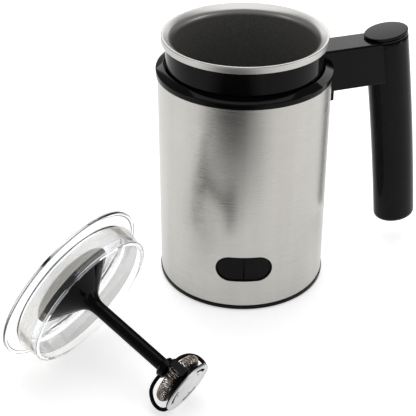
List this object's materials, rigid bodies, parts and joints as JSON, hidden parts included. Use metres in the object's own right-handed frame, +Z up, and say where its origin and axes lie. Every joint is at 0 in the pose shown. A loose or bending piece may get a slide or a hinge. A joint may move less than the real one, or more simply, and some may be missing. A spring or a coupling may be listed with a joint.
{
  "type": "milk frother",
  "caption": "Cordless milk frother: steel jug with a black side handle and touch keys, and its clear lid with the magnetic whisk lying beside it.",
  "frame": {"origin": "centre of the jug's foot circle, on the table", "axes": "+Z up along the jug's axis, -Y towards the control keys, handle 19 degrees from +X towards +Y"},
  "size_m": [0.2595, 0.2153, 0.1672],
  "materials": {
    "brushed_steel": "circumferentially brushed",
    "cup_steel": "satin steel rim and funnel, dark non-stick coating inside",
    "black_gloss": "glossy moulded",
    "black_satin": "satin moulded",
    "seal_silicone": "milky translucent silicone",
    "lid_clear": "clear",
    "disc_steel": "bright satin",
    "whisk_wire": "drawn wire",
    "fastener_steel": "zinc plated",
    "motor_steel": "nickel plated",
    "magnet_dark": "sintered",
    "heater_aluminium": "as drawn",
    "contact_brass": "bright",
    "circuit_board": "solder mask",
    "inner_plastic": "heat-resistant moulded",
    "foot_rubber": "matt"
  },
  "bodies": {
    "jug": {"outer_shell": "brushed_steel", "cup": "cup_steel", "collar": "black_gloss", "cup_gasket": "seal_silicone", "shoulder_ring": "black_gloss", "grip_shell": "black_satin", "grip_cap": "black_satin", "grip_screw": "fastener_steel", "handle_arm": "black_satin", "arm_screws": "fastener_steel", "base_cover": "black_satin", "rubber_feet": "foot_rubber", "base_screws": "fastener_steel", "power_socket": "black_satin", "socket_contacts": "contact_brass", "inner_chassis": "inner_plastic", "power_board": "circuit_board", "power_capacitor": "inner_plastic", "heater_relay": "inner_plastic", "control_board": "circuit_board", "board_screws": "fastener_steel", "key_switches": "inner_plastic", "control_bezel": "black_gloss", "motor_damper": "foot_rubber", "motor_can": "motor_steel", "shaft_bearings": "contact_brass", "motor_magnets": "magnet_dark", "motor_bracket": "motor_steel", "bracket_screws": "fastener_steel", "heat_plate": "heater_aluminium", "heating_element": "heater_aluminium", "heater_terminals": "contact_brass", "thermostat": "inner_plastic", "temperature_sensor": "inner_plastic", "thermal_fuse": "motor_steel"},
    "lid": {"lid_cover": "lid_clear", "lid_seal": "seal_silicone", "whisk_stem": "black_gloss", "whisk_axle": "fastener_steel", "axle_clip": "fastener_steel"},
    "whisk": {"whisk_hoops": "black_gloss", "whisk_hub": "black_gloss", "whisk_spring": "whisk_wire", "magnet_housing": "black_gloss", "whisk_magnets": "motor_steel", "whisk_disc": "disc_steel"},
    "drive": {"motor_shaft": "fastener_steel", "motor_armature": "magnet_dark", "magnet_carrier": "inner_plastic", "drive_magnets": "motor_steel"},
    "key_hot": {"button_hot": "black_gloss"},
    "key_cold": {"button_cold": "black_gloss"}
  },
  "joints": [
    {"name": "lid_lift", "type": "slide", "parent": "jug", "child": "lid", "axis": [0, 0, 1], "range_m": [0, 0.2]},
    {"name": "whisk_spin", "type": "hinge", "parent": "lid", "child": "whisk", "pos_m": [-0.04427, -0.13884, 0.02065], "axis": [0.7392, -0.5692, -0.36], "continuous": true},
    {"name": "drive_spin", "type": "hinge", "parent": "jug", "child": "drive", "pos_m": [0, 0, 0.04], "axis": [0, 0, 1], "continuous": true},
    {"name": "hot_key_press", "type": "slide", "parent": "jug", "child": "key_hot", "axis": [0, 1, 0], "range_m": [0, 0.0008], "stiffness_N_per_m": 300, "springref_m": -0.0004},
    {"name": "cold_key_press", "type": "slide", "parent": "jug", "child": "key_cold", "axis": [0, 1, 0], "range_m": [0, 0.0008], "stiffness_N_per_m": 300, "springref_m": -0.0004}
  ]
}
